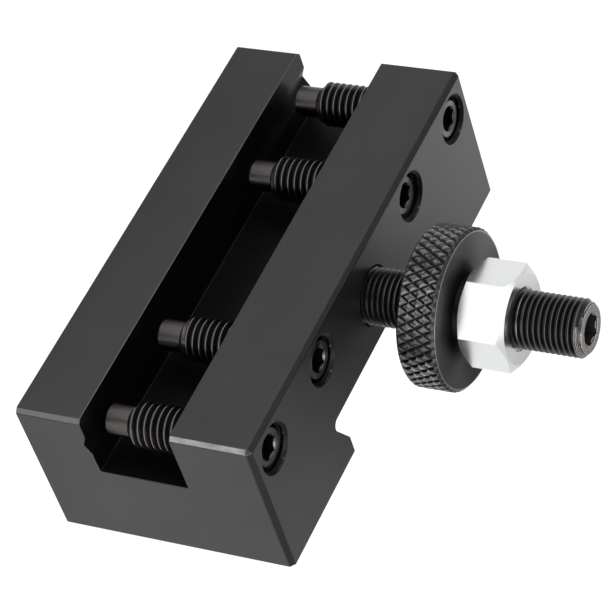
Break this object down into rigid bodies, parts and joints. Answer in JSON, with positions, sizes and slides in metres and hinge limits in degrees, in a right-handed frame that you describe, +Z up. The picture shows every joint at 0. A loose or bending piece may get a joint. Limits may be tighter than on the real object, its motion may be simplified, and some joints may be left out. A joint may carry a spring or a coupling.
{
  "type": "quick change tool holder",
  "caption": "Steel lathe tool block with a front shank slot, a rear dovetail, dog point clamp screws and a height stud with a knurled nut and a lock nut.",
  "frame": {"origin": "centre of the block's flat bottom face", "axes": "+Z up along the height stud, +X along the shank slot, +Y out of the dovetail at the back; the shank slot opens towards -Y"},
  "size_m": [0.0888, 0.0321, 0.0829],
  "materials": {
    "black_steel": "satin black oxide",
    "screw_steel": "glossy black oxide",
    "knurled_steel": "black oxide, diamond knurl",
    "zinc_steel": "bright zinc plate"
  },
  "bodies": {
    "holder": {"holder_body": "black_steel", "height_stud": "screw_steel"},
    "screw_1": {"clamp_screw_1": "screw_steel"},
    "screw_2": {"clamp_screw_2": "screw_steel"},
    "screw_3": {"clamp_screw_3": "screw_steel"},
    "screw_4": {"clamp_screw_4": "screw_steel"},
    "height_nut": {"height_nut": "knurled_steel"},
    "lock_nut": {"lock_nut": "zinc_steel"}
  },
  "joints": [
    {"name": "screw_1_travel", "type": "slide", "parent": "holder", "child": "screw_1", "axis": [0, 0, 1], "range_m": [-0.0016, 0.0151]},
    {"name": "screw_2_travel", "type": "slide", "parent": "holder", "child": "screw_2", "axis": [0, 0, 1], "range_m": [-0.0012, 0.0155]},
    {"name": "screw_3_travel", "type": "slide", "parent": "holder", "child": "screw_3", "axis": [0, 0, 1], "range_m": [-0.0017, 0.015]},
    {"name": "screw_4_travel", "type": "slide", "parent": "holder", "child": "screw_4", "axis": [0, 0, 1], "range_m": [-0.0013, 0.0154]},
    {"name": "height_nut_travel", "type": "slide", "parent": "holder", "child": "height_nut", "axis": [0, 0, 1], "range_m": [-0.0105, 0.005]},
    {"name": "lock_nut_travel", "type": "slide", "parent": "height_nut", "child": "lock_nut", "axis": [0, 0, 1], "range_m": [0, 0.006]}
  ]
}
